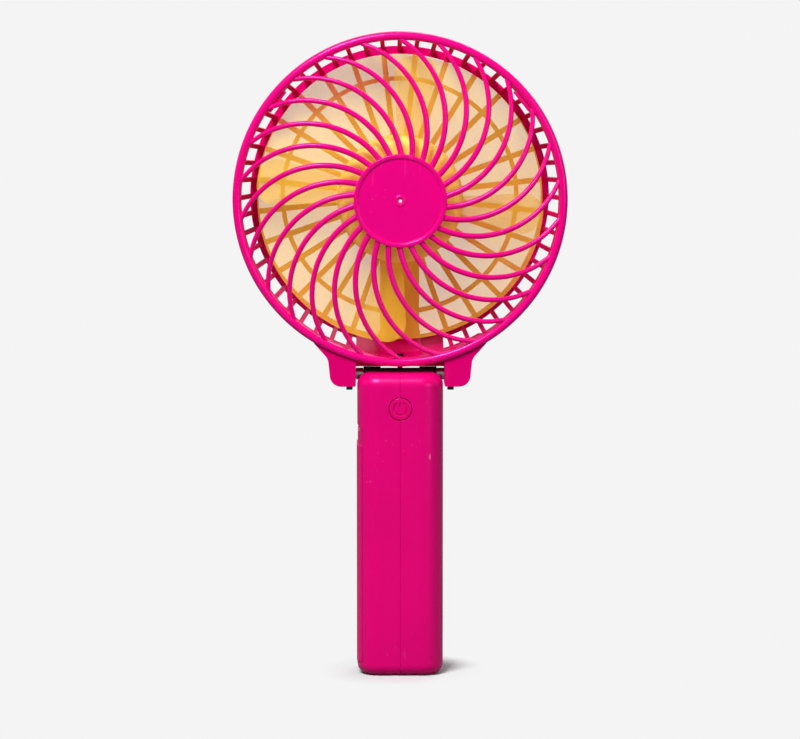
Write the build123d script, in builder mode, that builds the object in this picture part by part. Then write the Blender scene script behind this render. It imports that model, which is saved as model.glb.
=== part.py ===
from build123d import *
import math
import os

os.makedirs("parts", exist_ok=True)

# Folding battery fan, standing on the base of its handle. Millimetres, +Z up,
# the air blows towards -Y. The origin is the middle of the handle's base.

# ---------------------------------------------------------------- handle sizes
HANDLE_WIDTH = 27.4
HANDLE_DEPTH = 25.0
HANDLE_HEIGHT = 97.2
HANDLE_CORNER = 7.0
TOP_ROUNDING = 4.0
BASE_ROUNDING = 3.5
WALL = 1.8
SEAM_GROOVE_WIDTH = 0.12
SEAM_GROOVE_DEPTH = 0.05

# ---------------------------------------------------------------- hinge sizes
PIVOT_HEIGHT = 96.2
PIN_RADIUS = 1.5
PIN_LENGTH = 13.6
KNUCKLE_RADIUS = 2.3
BLOCK_LENGTH = 23.4
SPACER_RADIUS = 1.9
DISC_RADIUS = 5.2
DISC_THICKNESS = 2.0
CAP_RADIUS = 2.6
CAP_THICKNESS = 1.2
TENON_DROP = 10.2
TENON_REAR = 0.5
FRONT_WEB = 1.2
PEG_RADIUS = 1.3
PEG_DROP = 6.7
PEG_BITE = 2.4
PIN_IN_EAR = 6.25
DISC_PLACE = 1.05
CAP_SUNK = 0.2
SHOULDER_DROP = 3.0

# ---------------------------------------------------------------- head sizes
HEAD_HEIGHT = 152.3
RING_RADIUS = 53.2
RING_WIDTH = 2.7
RING_FRONT = -7.65
PARTING_FACE = -1.0
FLANGE_BACK = 2.0
REAR_FACE = 18.5

HUB_RADIUS = 14.8
HUB_FRONT = -13.0
HUB_THICKNESS = 2.4
HUB_RIM_WIDTH = 1.5
HUB_RECESS = 0.4
GATE_RADIUS = 1.0

RIB_COUNT = 26
RIB_START_ANGLE = 6.5
RIB_ARC_RADIUS = 29.13
RIB_ARC_CENTRE = (9.31, 28.45)
RIB_ARC_ANGLES = (-82.0, 12.0)
RIB_WIDTH_HUB = 2.0
RIB_WIDTH_RING = 1.45
RIB_DEPTH = 2.0

GRILLE_WALL = 1.6
REAR_RING_OUTER = 48.3
REAR_RING_WIDTH = 2.6
REAR_GRILLE_DEPTH = 1.8
SPOKE_COUNT = 28
SPOKE_WIDTH = 1.7
MIDDLE_RING_RADIUS = 37.8
MIDDLE_RING_WIDTH = 1.4
BAR_COUNT = 56
BAR_WIDTH = 1.4
REAR_HUB_RADIUS = 17.5
CLOSED_WALL_HALF_ANGLE = 15.5

EAR_INNER = 14.15
EAR_OUTER = 22.1
EAR_TOP_OUTER = 23.0
EAR_BOTTOM = 92.65
EAR_HALF_DEPTH = 6.5
EAR_CORNER = 3.6
EAR_INNER_CORNER = 0.6
EAR_SHOULDER_HEIGHT = 8.9
EAR_SHOULDER_FILLET = 4.0
EAR_TIP_HEIGHT = 16.2
EAR_TIP_REACH = 6.5
EAR_RING_BITE = 1.3

LATCH_ANGLES = (38.5, 141.5)
LATCH_WIDTH = 8.0
LATCH_THICKNESS = 1.3
LATCH_NOSE = 0.8

# ---------------------------------------------------------------- fan wheel and motor
BLADE_COUNT = 4
BLADE_RADIUS = 45.8
BLADE_SPAN = 110.0
BLADE_START_ANGLE = -17.3
BLADE_FRONT = -4.0
BLADE_BACK = 12.0
BLADE_THICKNESS = 1.3
BLADE_CORNER = 6.0
CAP_WHEEL_RADIUS = 20.0
CAP_WHEEL_FRONT = -8.2
CAP_WHEEL_WALL = 1.6
CAP_WHEEL_ROUNDING = 3.0
BOSS_RADIUS = 3.0
BOSS_LENGTH = 8.5

MOTOR_RADIUS = 12.0
MOTOR_FRONT = 4.0
MOTOR_BACK = 15.8
MOTOR_WALL = 0.8
MOTOR_BOSS_RADIUS = 3.0
MOTOR_BOSS_LENGTH = 1.4
CUP_WALL = 1.5
SHAFT_RADIUS = 1.0
BUSH_RADIUS = 2.2
BUSH_LENGTH = 2.6
ARMATURE_RADIUS = 8.4
AIR_GAP = 0.8
END_CAP_THICKNESS = 1.6
COVER_THICKNESS = 1.6
COVER_STRIP_HALF_WIDTH = 5.2
COVER_STRIP_END = 45.5
COVER_SCREW_PLACE = 15.2
CHANNEL_BLOCK_HALF_WIDTH = 6.3
CHANNEL_BLOCK_DEPTH = 4.0
NECK_BLOCK_HALF_WIDTH = 6.7
NECK_BLOCK_THICKNESS = 3.4

# ---------------------------------------------------------------- power, board and lead
CELL_RADIUS = 9.2
CELL_LENGTH = 65.2
CELL_BASE = 6.4
CONTACT_THICKNESS = 0.5
PARTITION_THICKNESS = 1.5
SPRING_BASE_RADIUS = 4.6
SPRING_TIP_RADIUS = 3.2

DOOR_HALF_WIDTH = 9.8
DOOR_BOTTOM = 4.3
DOOR_TOP = 78.6
DOOR_THICKNESS = 1.2
DOOR_PROUD = 0.2
DOOR_THUMB_DISH = 4.6
DOOR_HOOK_PLACES = (-4.5, 4.5)
DOOR_HOOK_WIDTH = 3.0
DOOR_HOOK_THICKNESS = 0.8
DOOR_HOOK_DROP = 1.4
BAY_HALF_WIDTH = 9.35
LEDGE_WIDTH = 0.9
NOTCH_HALF_WIDTH = 9.3
NOTCH_HEIGHT = 2.9
NOTCH_DEPTH = 1.0

BUTTON_HEIGHT = 86.15
BUTTON_RADIUS = 3.55
BUTTON_HOLE_RADIUS = 3.75
BUTTON_FLANGE_RADIUS = 4.8
BUTTON_FLANGE_THICKNESS = 0.8
BUTTON_TRAVEL = 0.5
BUTTON_SUNK = 0.1
SYMBOL_RADIUS = 2.05
SYMBOL_LINE = 0.45
SYMBOL_DEPTH = 0.25
PLUNGER_RADIUS = 1.2
PLUNGER_LENGTH = 1.0
SWITCH_SIZE = 6.0
SWITCH_HEIGHT = 2.1

BOARD_FRONT = -6.6
BOARD_THICKNESS = 1.0
BOARD_HALF_WIDTH = 10.8
BOARD_BOTTOM = 76.5
BOARD_TOP = 90.5
SOCKET_HEIGHT = 84.1
SOCKET_WIDTH = 7.6
SOCKET_THICKNESS = 2.7
SOCKET_LENGTH = 7.0
SOCKET_WALL = 0.3

SCREW_RADIUS = 1.0
SCREW_HEAD_RADIUS = 1.8
SCREW_HEAD_HEIGHT = 1.2
SHELL_SCREW_PLACES = ((1.5, 81.2), (-4.4, 92.6))
SHELL_SCREW_BITE = 6.0
BOSS_WALL = 1.0

LEAD_RADIUS = 0.8
LEAD_DEPTH = 17.0
LEAD_SPLIT = 2.4
LEAD_DROP_PLACE = 4.8
LEAD_BOARD_HEIGHT = 84.5
WIRE_RADIUS = 0.6

# ---------------------------------------------------------------- clearances
SNUG_FIT = 0.02
RUNNING_FIT = 0.05
SLIP_FIT = 0.15
FACE_GAP = 0.05
LOOSE_GAP = 0.3
FOLD_GAP = 0.5

HEAD_AXIS = Axis((0, 0, HEAD_HEIGHT), (0, 1, 0))
CUP_RADIUS = MOTOR_RADIUS + CUP_WALL


def front_plane(depth):
    """Plane facing the viewer at the given depth, centred on the head."""
    return Plane(origin=(0, depth, HEAD_HEIGHT), x_dir=(1, 0, 0), z_dir=(0, -1, 0))


def polar_point(radius, angle):
    """Point at a radius and an angle in degrees."""
    return (radius * math.cos(math.radians(angle)), radius * math.sin(math.radians(angle)))


def revolved(profile):
    """Solid of revolution about the head's axis from (radius, depth) points."""
    with BuildPart() as body:
        with BuildSketch(Plane.XY.offset(HEAD_HEIGHT)):
            with BuildLine():
                Polyline(*profile, close=True)
            make_face()
        revolve(axis=HEAD_AXIS)
    return body.part


def ring(inner, outer, front, back):
    """Plain ring, or disc where inner is 0, about the head's axis."""
    return revolved([(inner, front), (outer, front), (outer, back), (inner, back)])


def cross_cylinder(radius, start, end, place):
    """Cylinder along X from start to end at a (depth, height) place."""
    with BuildPart() as body:
        with BuildSketch(Plane.YZ.offset(min(start, end))):
            with Locations(place):
                Circle(radius)
        extrude(amount=abs(end - start))
    return body.part


def block(x_range, y_range, z_range):
    """Box between the given limits."""
    with BuildPart() as body:
        with BuildSketch(Plane.XY.offset(z_range[0])):
            with Locations(((x_range[0] + x_range[1]) / 2, (y_range[0] + y_range[1]) / 2)):
                Rectangle(x_range[1] - x_range[0], y_range[1] - y_range[0])
        extrude(amount=z_range[1] - z_range[0])
    return body.part


def round_tube(points, radii, radius):
    """Round solid along straight runs joined by tangent arcs."""
    with BuildPart() as body:
        with BuildLine() as route:
            FilletPolyline(*points, radius=radii)
        with BuildSketch(Plane(origin=route.line @ 0, z_dir=route.line % 0)):
            Circle(radius)
        sweep(path=route.line)
    return body.part


# ---------------------------------------------------------------- the bowl's lines
# Outer line of the bowl's side wall, from the flange to the rear ring. Folded
# back, the same line lies behind the handle's neck, which follows it.
BOWL_FRONT_RADIUS = RING_RADIUS - 0.6
BOWL_SLOPE = (BOWL_FRONT_RADIUS - REAR_RING_OUTER) / (REAR_FACE - REAR_GRILLE_DEPTH - FLANGE_BACK)


def bowl_radius(depth):
    """Outer radius of the bowl's side wall at a depth."""
    return BOWL_FRONT_RADIUS - BOWL_SLOPE * (depth - FLANGE_BACK)


def bowl_band(thickness):
    """Conical side wall of the bowl, as a full band."""
    back = REAR_FACE
    front = FLANGE_BACK - 0.5
    return revolved([
        (bowl_radius(front) - thickness, front),
        (bowl_radius(front), front),
        (bowl_radius(back), back),
        (bowl_radius(back) - thickness, back),
    ])


# ---------------------------------------------------------------- handle form
# The scoop clears the cover where the folded head lies over the handle's rear face.
COVER_BACK = REAR_FACE + COVER_THICKNESS
FOLD_REACH = math.hypot(COVER_BACK + FOLD_GAP, HANDLE_DEPTH / 2)
NECK_DEPTH = HEAD_HEIGHT - PIVOT_HEIGHT - RING_RADIUS - FOLD_GAP - BOWL_SLOPE * FLANGE_BACK


def scoop_point(inset, side):
    """Corner of the rear scoop, as (depth, height): where the neck meets the arc."""
    slope = math.atan(BOWL_SLOPE)
    start = Vector(NECK_DEPTH - inset * math.cos(slope), -inset * math.sin(slope))
    along = Vector(math.sin(slope), -math.cos(slope))
    if side == "top":
        place = start - along * (SHOULDER_DROP * 3)
    else:
        reach = FOLD_REACH + inset
        step = start.dot(along)
        place = start + along * (-step + math.sqrt(step ** 2 - start.dot(start) + reach ** 2))
    return (place.X, place.Y + PIVOT_HEIGHT)


def handle_form(inset):
    """Outer shape of the handle moved inwards by inset, with its rear scoop."""
    reach = FOLD_REACH + inset
    top = scoop_point(inset, "top")
    corner = scoop_point(inset, "corner")
    end_depth = HANDLE_DEPTH / 2 + 1
    middle_depth = (corner[0] + end_depth) / 2
    middle = (middle_depth, PIVOT_HEIGHT - math.sqrt(reach ** 2 - middle_depth ** 2))
    end = (end_depth, PIVOT_HEIGHT - math.sqrt(reach ** 2 - end_depth ** 2))
    with BuildPart() as form:
        with BuildSketch(Plane.XY.offset(inset)):
            RectangleRounded(HANDLE_WIDTH - 2 * inset, HANDLE_DEPTH - 2 * inset, HANDLE_CORNER - inset)
        extrude(amount=HANDLE_HEIGHT - 2 * inset)
        fillet(form.edges().group_by(Axis.Z)[-1], TOP_ROUNDING - inset)
        fillet(form.edges().group_by(Axis.Z)[0], BASE_ROUNDING - inset)
        with BuildSketch(Plane.YZ) as scoop:
            with BuildLine():
                Line(top, corner)
                ThreePointArc(corner, middle, end)
                Polyline(end, (end[0], top[1]), top)
            make_face()
        extrude(amount=HANDLE_WIDTH, both=True, mode=Mode.SUBTRACT)
    return form.part


handle_outer = handle_form(0)
handle_inner = handle_form(WALL)
handle_skin = handle_form(SEAM_GROOVE_DEPTH)

INNER_HALF_WIDTH = HANDLE_WIDTH / 2 - WALL
INNER_FRONT = -HANDLE_DEPTH / 2 + WALL
KNUCKLE_FRONT = -KNUCKLE_RADIUS
SHOULDER_HEIGHT = PIVOT_HEIGHT - SHOULDER_DROP
CELL_TOP = CELL_BASE + CELL_LENGTH
PARTITION_BOTTOM = CELL_TOP + CONTACT_THICKNESS
BOARD_BACK = BOARD_FRONT + BOARD_THICKNESS
PEG_PLACE = ((KNUCKLE_FRONT + TENON_REAR) / 2, PIVOT_HEIGHT - PEG_DROP)
PLUS_WIRE_PLACE = (-7.5, BOARD_BACK + WIRE_RADIUS + FACE_GAP)
MINUS_WIRE_PLACE = (8.9, BOARD_FRONT - WIRE_RADIUS - FACE_GAP)
RAIL_GAP = BOARD_THICKNESS + 2 * SLIP_FIT
RAIL_HEIGHT = 2.6
RAIL_THICKNESS = 1.3
TONGUE_LENGTH = 2.0
TONGUE_HALF_DEPTH = 6.0
TONGUE_HEIGHT = 1.3


SHELF_SPACE = block(
    (-HANDLE_WIDTH, HANDLE_WIDTH),
    (-HANDLE_DEPTH, HANDLE_DEPTH),
    (PARTITION_BOTTOM, PARTITION_BOTTOM + PARTITION_THICKNESS),
)
shelf = SHELF_SPACE & handle_inner
SEAM_SPACE = block(
    (-SEAM_GROOVE_WIDTH / 2, SEAM_GROOVE_WIDTH / 2),
    (-HANDLE_DEPTH, HANDLE_DEPTH),
    (-1, HANDLE_HEIGHT + 1),
)
seam_groove = SEAM_SPACE & (handle_outer - handle_skin)


def handle_shell(side):
    """Half of the handle's case: side is -1 for the left half, 1 for the right."""
    half = block(
        sorted((0, side * HANDLE_WIDTH)),
        (-HANDLE_DEPTH, HANDLE_DEPTH),
        (-1, HANDLE_HEIGHT + 1),
    )
    wall_face = side * (INNER_HALF_WIDTH + WALL / 2)
    with BuildPart() as shell:
        add(handle_outer)
        add(handle_inner, mode=Mode.SUBTRACT)
        # shelf over the cell
        add(shelf)
        add(half, mode=Mode.INTERSECT)
        # screw bosses
        for place in SHELL_SCREW_PLACES:
            add(cross_cylinder(SCREW_RADIUS + BOSS_WALL, 0, wall_face, place))
        # pegs that hold the hinge block
        add(cross_cylinder(PEG_RADIUS, side * (BLOCK_LENGTH / 2 - PEG_BITE), wall_face, PEG_PLACE))
        # rails that hold the board's edges
        for rail_front in (BOARD_FRONT - SLIP_FIT - RAIL_THICKNESS, BOARD_FRONT - SLIP_FIT + RAIL_GAP):
            add(block(
                sorted((side * (BOARD_HALF_WIDTH - 1.2), wall_face)),
                (rail_front, rail_front + RAIL_THICKNESS),
                (BOARD_BOTTOM, BOARD_BOTTOM + RAIL_HEIGHT),
            ))
        # groove along the seam
        add(seam_groove, mode=Mode.SUBTRACT)
        # the top is open behind the front wall, for the hinge block
        add(block(
            (-HANDLE_WIDTH, HANDLE_WIDTH),
            (KNUCKLE_FRONT - SLIP_FIT, HANDLE_DEPTH),
            (SHOULDER_HEIGHT, HANDLE_HEIGHT + 1),
        ), mode=Mode.SUBTRACT)
        # button hole
        with BuildSketch(Plane.XZ.offset(HANDLE_DEPTH / 2 + 1)):
            with Locations((0, BUTTON_HEIGHT)):
                Circle(BUTTON_HOLE_RADIUS)
        extrude(amount=-(WALL + 1.5), mode=Mode.SUBTRACT)
        # wire holes through the shelf
        for place in (PLUS_WIRE_PLACE, MINUS_WIRE_PLACE):
            with BuildSketch(Plane.XY.offset(PARTITION_BOTTOM - 0.5)):
                with Locations(place):
                    Circle(WIRE_RADIUS + LOOSE_GAP)
            extrude(amount=PARTITION_THICKNESS + 1, mode=Mode.SUBTRACT)
    return shell.part


# ---------------------------------------------------------------- left half of the handle
door_space = block(
    (-HANDLE_WIDTH, 0),
    (-DOOR_HALF_WIDTH - SLIP_FIT, DOOR_HALF_WIDTH + SLIP_FIT),
    (DOOR_BOTTOM - SLIP_FIT, DOOR_TOP + SLIP_FIT),
)
bay_opening = block(
    (-HANDLE_WIDTH, -CELL_RADIUS),
    (-BAY_HALF_WIDTH, BAY_HALF_WIDTH),
    (DOOR_BOTTOM + LEDGE_WIDTH, DOOR_TOP - LEDGE_WIDTH * 2),
)
door_seat = handle_form(DOOR_THICKNESS - DOOR_PROUD + FACE_GAP)
door_recess = door_space & (handle_outer - door_seat)
notch_floor = handle_form(NOTCH_DEPTH)
NOTCH_BOTTOM = DOOR_TOP + SLIP_FIT - 0.05

with BuildPart() as notch:
    with BuildSketch(Plane.YZ.offset(-HANDLE_WIDTH)):
        with Locations((0, NOTCH_BOTTOM)):
            Ellipse(NOTCH_HALF_WIDTH, NOTCH_HEIGHT)
        with Locations((0, NOTCH_BOTTOM - NOTCH_HEIGHT)):
            Rectangle(2 * NOTCH_HALF_WIDTH, 2 * NOTCH_HEIGHT, mode=Mode.SUBTRACT)
    extrude(amount=HANDLE_WIDTH)
notch_recess = notch.part & (handle_outer - notch_floor)

with BuildPart() as handle_left_shell:
    add(handle_shell(-1))
    # seat of the battery door and the opening behind it
    add(door_recess, mode=Mode.SUBTRACT)
    add(bay_opening, mode=Mode.SUBTRACT)
    # finger notch above the door
    add(notch_recess, mode=Mode.SUBTRACT)
    # pilot holes for the screws
    for place in SHELL_SCREW_PLACES:
        add(cross_cylinder(SCREW_RADIUS, -SHELL_SCREW_BITE - 0.5, 1, place), mode=Mode.SUBTRACT)
handle_left_shell.part.label = "handle_left_shell"

# ---------------------------------------------------------------- right half of the handle
SCREW_SEAT = HANDLE_WIDTH / 2 - WALL - 1.0
SOCKET_BACK = BOARD_BACK + SOCKET_THICKNESS

with BuildPart() as handle_right_shell:
    add(handle_shell(1))
    # tongue that reaches over the left half's floor
    add(block(
        (-TONGUE_LENGTH, INNER_HALF_WIDTH - 2.0),
        (-TONGUE_HALF_DEPTH, TONGUE_HALF_DEPTH),
        (WALL, WALL + TONGUE_HEIGHT),
    ))
    # screw holes with head seats
    for place in SHELL_SCREW_PLACES:
        add(cross_cylinder(SCREW_RADIUS + SLIP_FIT, -1, HANDLE_WIDTH, place), mode=Mode.SUBTRACT)
        add(cross_cylinder(SCREW_HEAD_RADIUS + SLIP_FIT, SCREW_SEAT, HANDLE_WIDTH, place), mode=Mode.SUBTRACT)
    # charging socket opening
    add(block(
        (BOARD_HALF_WIDTH - 1.5, HANDLE_WIDTH),
        (BOARD_BACK - FACE_GAP, SOCKET_BACK + SLIP_FIT),
        (SOCKET_HEIGHT - SOCKET_WIDTH / 2 - SLIP_FIT, SOCKET_HEIGHT + SOCKET_WIDTH / 2 + SLIP_FIT),
    ), mode=Mode.SUBTRACT)
handle_right_shell.part.label = "handle_right_shell"

# ---------------------------------------------------------------- shell screws
SCREW_SLOT_WIDTH = 0.5
SCREW_SLOT_LENGTH = 1.4 * SCREW_HEAD_RADIUS

with BuildPart() as shell_screws:
    for place in SHELL_SCREW_PLACES:
        add(cross_cylinder(SCREW_RADIUS, -SHELL_SCREW_BITE, SCREW_SEAT, place))
        add(cross_cylinder(SCREW_HEAD_RADIUS, SCREW_SEAT, SCREW_SEAT + SCREW_HEAD_HEIGHT, place))
        add(block(
            (SCREW_SEAT + SCREW_HEAD_HEIGHT / 2, SCREW_SEAT + SCREW_HEAD_HEIGHT + 1),
            (place[0] - SCREW_SLOT_WIDTH / 2, place[0] + SCREW_SLOT_WIDTH / 2),
            (place[1] - SCREW_SLOT_LENGTH / 2, place[1] + SCREW_SLOT_LENGTH / 2),
        ), mode=Mode.SUBTRACT)
shell_screws.part.label = "shell_screws"

# ---------------------------------------------------------------- battery door
door_inner = handle_form(DOOR_THICKNESS - DOOR_PROUD)
door_outer = handle_form(-DOOR_PROUD)
dish_floor = handle_form(SLIP_FIT)
DOOR_INSIDE = -(HANDLE_WIDTH / 2 + DOOR_PROUD - DOOR_THICKNESS)
HOOK_FACE = -(INNER_HALF_WIDTH - LOOSE_GAP)
LEDGE_TOP = DOOR_BOTTOM + LEDGE_WIDTH
HOOK_ARM = 1.2
thumb_zone = block(
    (-HANDLE_WIDTH, 0),
    (-HANDLE_DEPTH, HANDLE_DEPTH),
    (DOOR_TOP - DOOR_THUMB_DISH, DOOR_TOP + 1),
)
thumb_dish = thumb_zone & (door_outer - dish_floor)

with BuildPart() as battery_door:
    add(door_outer)
    add(door_inner, mode=Mode.SUBTRACT)
    add(block(
        (-HANDLE_WIDTH, 0),
        (-DOOR_HALF_WIDTH, DOOR_HALF_WIDTH),
        (DOOR_BOTTOM, DOOR_TOP),
    ), mode=Mode.INTERSECT)
    # thumb dish at the top edge
    add(thumb_dish, mode=Mode.SUBTRACT)
    # two hooks that reach over the ledge and down behind it
    for place in DOOR_HOOK_PLACES:
        limits = (place - DOOR_HOOK_WIDTH / 2, place + DOOR_HOOK_WIDTH / 2)
        add(block(
            (DOOR_INSIDE - DOOR_THICKNESS / 2, HOOK_FACE + DOOR_HOOK_THICKNESS),
            limits,
            (LEDGE_TOP + SLIP_FIT, LEDGE_TOP + SLIP_FIT + HOOK_ARM),
        ))
        add(block(
            (HOOK_FACE, HOOK_FACE + DOOR_HOOK_THICKNESS),
            limits,
            (DOOR_BOTTOM - DOOR_HOOK_DROP, LEDGE_TOP + SLIP_FIT + HOOK_ARM),
        ))
battery_door.part.label = "battery_door"

# ---------------------------------------------------------------- hinge block
WINDOW_HALF = 6.2
WEB_BACK = KNUCKLE_FRONT + FRONT_WEB
WINDOW_BOTTOM = PIVOT_HEIGHT - KNUCKLE_RADIUS - LOOSE_GAP
LEAD_GROOVE = LEAD_RADIUS + LOOSE_GAP
PIN_START = EAR_INNER + PIN_IN_EAR - PIN_LENGTH

with BuildPart() as hinge_block:
    add(cross_cylinder(KNUCKLE_RADIUS, -BLOCK_LENGTH / 2, BLOCK_LENGTH / 2, (0, PIVOT_HEIGHT)))
    add(block(
        (-BLOCK_LENGTH / 2, BLOCK_LENGTH / 2),
        (KNUCKLE_FRONT, TENON_REAR),
        (PIVOT_HEIGHT - TENON_DROP, PIVOT_HEIGHT),
    ))
    # window behind the front web, where the lead turns with the head
    add(block(
        (-WINDOW_HALF, WINDOW_HALF),
        (WEB_BACK, KNUCKLE_RADIUS + 1),
        (WINDOW_BOTTOM, PIVOT_HEIGHT + KNUCKLE_RADIUS + 1),
    ), mode=Mode.SUBTRACT)
    # groove that the lead follows down
    add(block(
        (-LEAD_DROP_PLACE - LEAD_GROOVE, -LEAD_DROP_PLACE + LEAD_GROOVE),
        (WEB_BACK, KNUCKLE_RADIUS),
        (PIVOT_HEIGHT - TENON_DROP - 1, WINDOW_BOTTOM + 1),
    ), mode=Mode.SUBTRACT)
    for side in (-1, 1):
        pin_hole_end = side * (PIN_START - LOOSE_GAP)
        peg_hole_end = side * (BLOCK_LENGTH / 2 - PEG_BITE - SLIP_FIT)
        outside = side * BLOCK_LENGTH
        add(cross_cylinder(PIN_RADIUS + SNUG_FIT, pin_hole_end, outside, (0, PIVOT_HEIGHT)), mode=Mode.SUBTRACT)
        add(cross_cylinder(PEG_RADIUS + FACE_GAP, peg_hole_end, outside, PEG_PLACE), mode=Mode.SUBTRACT)
hinge_block.part.label = "hinge_block"

# ---------------------------------------------------------------- hinge pins, spacers and friction discs
DISC_START = EAR_INNER + DISC_PLACE

with BuildPart() as hinge_pins:
    for side in (-1, 1):
        add(cross_cylinder(PIN_RADIUS, side * PIN_START, side * (PIN_START + PIN_LENGTH), (0, PIVOT_HEIGHT)))
hinge_pins.part.label = "hinge_pins"

with BuildPart() as hinge_spacers:
    for side in (-1, 1):
        limits = (side * (BLOCK_LENGTH / 2 + FACE_GAP), side * (EAR_INNER - FACE_GAP))
        add(cross_cylinder(SPACER_RADIUS, *limits, (0, PIVOT_HEIGHT)))
        add(cross_cylinder(PIN_RADIUS + SNUG_FIT, *limits, (0, PIVOT_HEIGHT)), mode=Mode.SUBTRACT)
hinge_spacers.part.label = "hinge_spacers"

with BuildPart() as friction_discs:
    for side in (-1, 1):
        limits = (side * DISC_START, side * (DISC_START + DISC_THICKNESS))
        add(cross_cylinder(DISC_RADIUS, *limits, (0, PIVOT_HEIGHT)))
        add(cross_cylinder(PIN_RADIUS + SNUG_FIT, *limits, (0, PIVOT_HEIGHT)), mode=Mode.SUBTRACT)
friction_discs.part.label = "friction_discs"

# ---------------------------------------------------------------- hinge caps
CAP_END = EAR_OUTER - CAP_SUNK

with BuildPart() as hinge_caps:
    for side in (-1, 1):
        limits = (side * (CAP_END - CAP_THICKNESS), side * CAP_END)
        add(cross_cylinder(CAP_RADIUS, *limits, (0, PIVOT_HEIGHT)))
hinge_caps.part.label = "hinge_caps"


# ---------------------------------------------------------------- lead, divided on the hinge axis
# In the head it runs down the channel, through the neck block and turns onto
# the hinge axis; the handle's part takes it over there and goes to the board.
def duct_height(depth):
    """Height of the duct's centre line under the bowl at a depth."""
    return HEAD_HEIGHT - bowl_radius(depth) + NECK_BLOCK_THICKNESS / 2


TERMINAL_DROP = 6.5
LEAD_BENDS = [2.5, 2.0, 2.0]
lead_points = [
    (0, LEAD_DEPTH, HEAD_HEIGHT - TERMINAL_DROP),
    (0, LEAD_DEPTH, duct_height(LEAD_DEPTH)),
    (0, 0, duct_height(0)),
    (0, 0, PIVOT_HEIGHT),
    (-LEAD_SPLIT, 0, PIVOT_HEIGHT),
]

with BuildPart() as motor_lead:
    add(round_tube(lead_points, LEAD_BENDS, LEAD_RADIUS))
motor_lead.part.label = "motor_lead"

with BuildPart() as handle_lead:
    add(round_tube(
        [
            (-LEAD_SPLIT, 0, PIVOT_HEIGHT),
            (-LEAD_DROP_PLACE, 0, PIVOT_HEIGHT),
            (-LEAD_DROP_PLACE, 0, LEAD_BOARD_HEIGHT),
            (-LEAD_DROP_PLACE, BOARD_BACK, LEAD_BOARD_HEIGHT),
        ],
        LEAD_BENDS[1:],
        LEAD_RADIUS,
    ))
handle_lead.part.label = "handle_lead"

# ---------------------------------------------------------------- power button and switch
BUTTON_FACE = -HANDLE_DEPTH / 2 + BUTTON_SUNK
FLANGE_FRONT = INNER_FRONT + 0.1
SWITCH_FRONT = BOARD_FRONT - SWITCH_HEIGHT
PLUNGER_FRONT = SWITCH_FRONT - BUTTON_TRAVEL

with BuildPart() as power_button:
    with BuildSketch(Plane.XZ.offset(-BUTTON_FACE)):
        with Locations((0, BUTTON_HEIGHT)):
            Circle(BUTTON_RADIUS)
    extrude(amount=BUTTON_FACE - FLANGE_FRONT)
    fillet(power_button.edges().group_by(Axis.Y)[0], 0.3)
    with BuildSketch(Plane.XZ.offset(-FLANGE_FRONT)):
        with Locations((0, BUTTON_HEIGHT)):
            Circle(BUTTON_FLANGE_RADIUS)
    extrude(amount=-BUTTON_FLANGE_THICKNESS)
    with BuildSketch(Plane.XZ.offset(-FLANGE_FRONT - BUTTON_FLANGE_THICKNESS + 0.2)):
        with Locations((0, BUTTON_HEIGHT)):
            Circle(PLUNGER_RADIUS + 0.4)
    extrude(amount=-(PLUNGER_FRONT - FLANGE_FRONT - BUTTON_FLANGE_THICKNESS + 0.2))
    # sunk on/off mark: a broken ring and a stroke
    with BuildSketch(Plane.XZ.offset(-BUTTON_FACE)):
        with Locations((0, BUTTON_HEIGHT)):
            Circle(SYMBOL_RADIUS + SYMBOL_LINE / 2)
            Circle(SYMBOL_RADIUS - SYMBOL_LINE / 2, mode=Mode.SUBTRACT)
        with Locations((0, BUTTON_HEIGHT + SYMBOL_RADIUS)):
            Rectangle(4 * SYMBOL_LINE, SYMBOL_RADIUS, mode=Mode.SUBTRACT)
        with Locations((0, BUTTON_HEIGHT + SYMBOL_RADIUS / 2)):
            Rectangle(SYMBOL_LINE, SYMBOL_RADIUS)
    extrude(amount=-SYMBOL_DEPTH, mode=Mode.SUBTRACT)
power_button.part.label = "power_button"

with BuildPart() as switch_plunger:
    with BuildSketch(Plane.XZ.offset(-PLUNGER_FRONT)):
        with Locations((0, BUTTON_HEIGHT)):
            Circle(PLUNGER_RADIUS)
    extrude(amount=-PLUNGER_LENGTH)
switch_plunger.part.label = "switch_plunger"

with BuildPart() as switch_body:
    with BuildSketch(Plane.XZ.offset(-SWITCH_FRONT)):
        with Locations((0, BUTTON_HEIGHT)):
            Rectangle(SWITCH_SIZE, SWITCH_SIZE)
    extrude(amount=-SWITCH_HEIGHT)
    with BuildSketch(Plane.XZ.offset(-SWITCH_FRONT)):
        with Locations((0, BUTTON_HEIGHT)):
            Circle(PLUNGER_RADIUS + RUNNING_FIT)
    extrude(amount=-(PLUNGER_LENGTH + LOOSE_GAP), mode=Mode.SUBTRACT)
switch_body.part.label = "switch_body"

# ---------------------------------------------------------------- circuit board and what is on it
with BuildPart() as circuit_board:
    add(block(
        (-BOARD_HALF_WIDTH, BOARD_HALF_WIDTH),
        (BOARD_FRONT, BOARD_BACK),
        (BOARD_BOTTOM, BOARD_TOP),
    ))
circuit_board.part.label = "circuit_board"

CHIP_PLACES = ((-1.5, 79.4, 5.0, 4.0, 1.5), (2.6, 87.6, 3.0, 3.0, 2.4), (-8.0, 87.2, 2.4, 4.2, 1.1))

with BuildPart() as board_chips:
    for x, z, width, height, thickness in CHIP_PLACES:
        add(block(
            (x - width / 2, x + width / 2),
            (BOARD_BACK, BOARD_BACK + thickness),
            (z - height / 2, z + height / 2),
        ))
board_chips.part.label = "board_chips"

SOCKET_MOUTH = HANDLE_WIDTH / 2 - 0.3

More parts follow.
